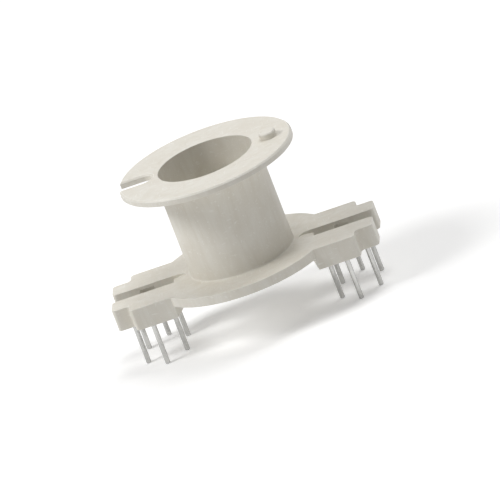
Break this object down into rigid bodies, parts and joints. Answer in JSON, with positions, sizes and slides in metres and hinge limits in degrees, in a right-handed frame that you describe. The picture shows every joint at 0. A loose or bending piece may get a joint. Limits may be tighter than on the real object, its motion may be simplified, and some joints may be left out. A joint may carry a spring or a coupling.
{
  "type": "transformer bobbin",
  "caption": "Round transformer bobbin: a flanged winding tube on a base plate with slotted, stepped wings that carry straight terminal pins for a circuit board.",
  "frame": {"origin": "on the bore's axis, in the plane of the pin tips", "axes": "+Z along the bore, from the pins to the upper flange; +X along the wings, towards the peg"},
  "size_m": [0.0242, 0.016, 0.0162],
  "materials": {
    "moulding": "satin moulded, glass-filled, off-white",
    "pin_metal": "bright tinned drawn wire"
  },
  "bodies": {
    "root": {"coil_former": "moulding", "pin_1": "pin_metal", "pin_2": "pin_metal", "pin_3": "pin_metal", "pin_4": "pin_metal", "pin_5": "pin_metal", "pin_6": "pin_metal", "pin_7": "pin_metal", "pin_8": "pin_metal", "pin_9": "pin_metal", "pin_10": "pin_metal", "pin_11": "pin_metal", "pin_12": "pin_metal"}
  },
  "joints": []
}
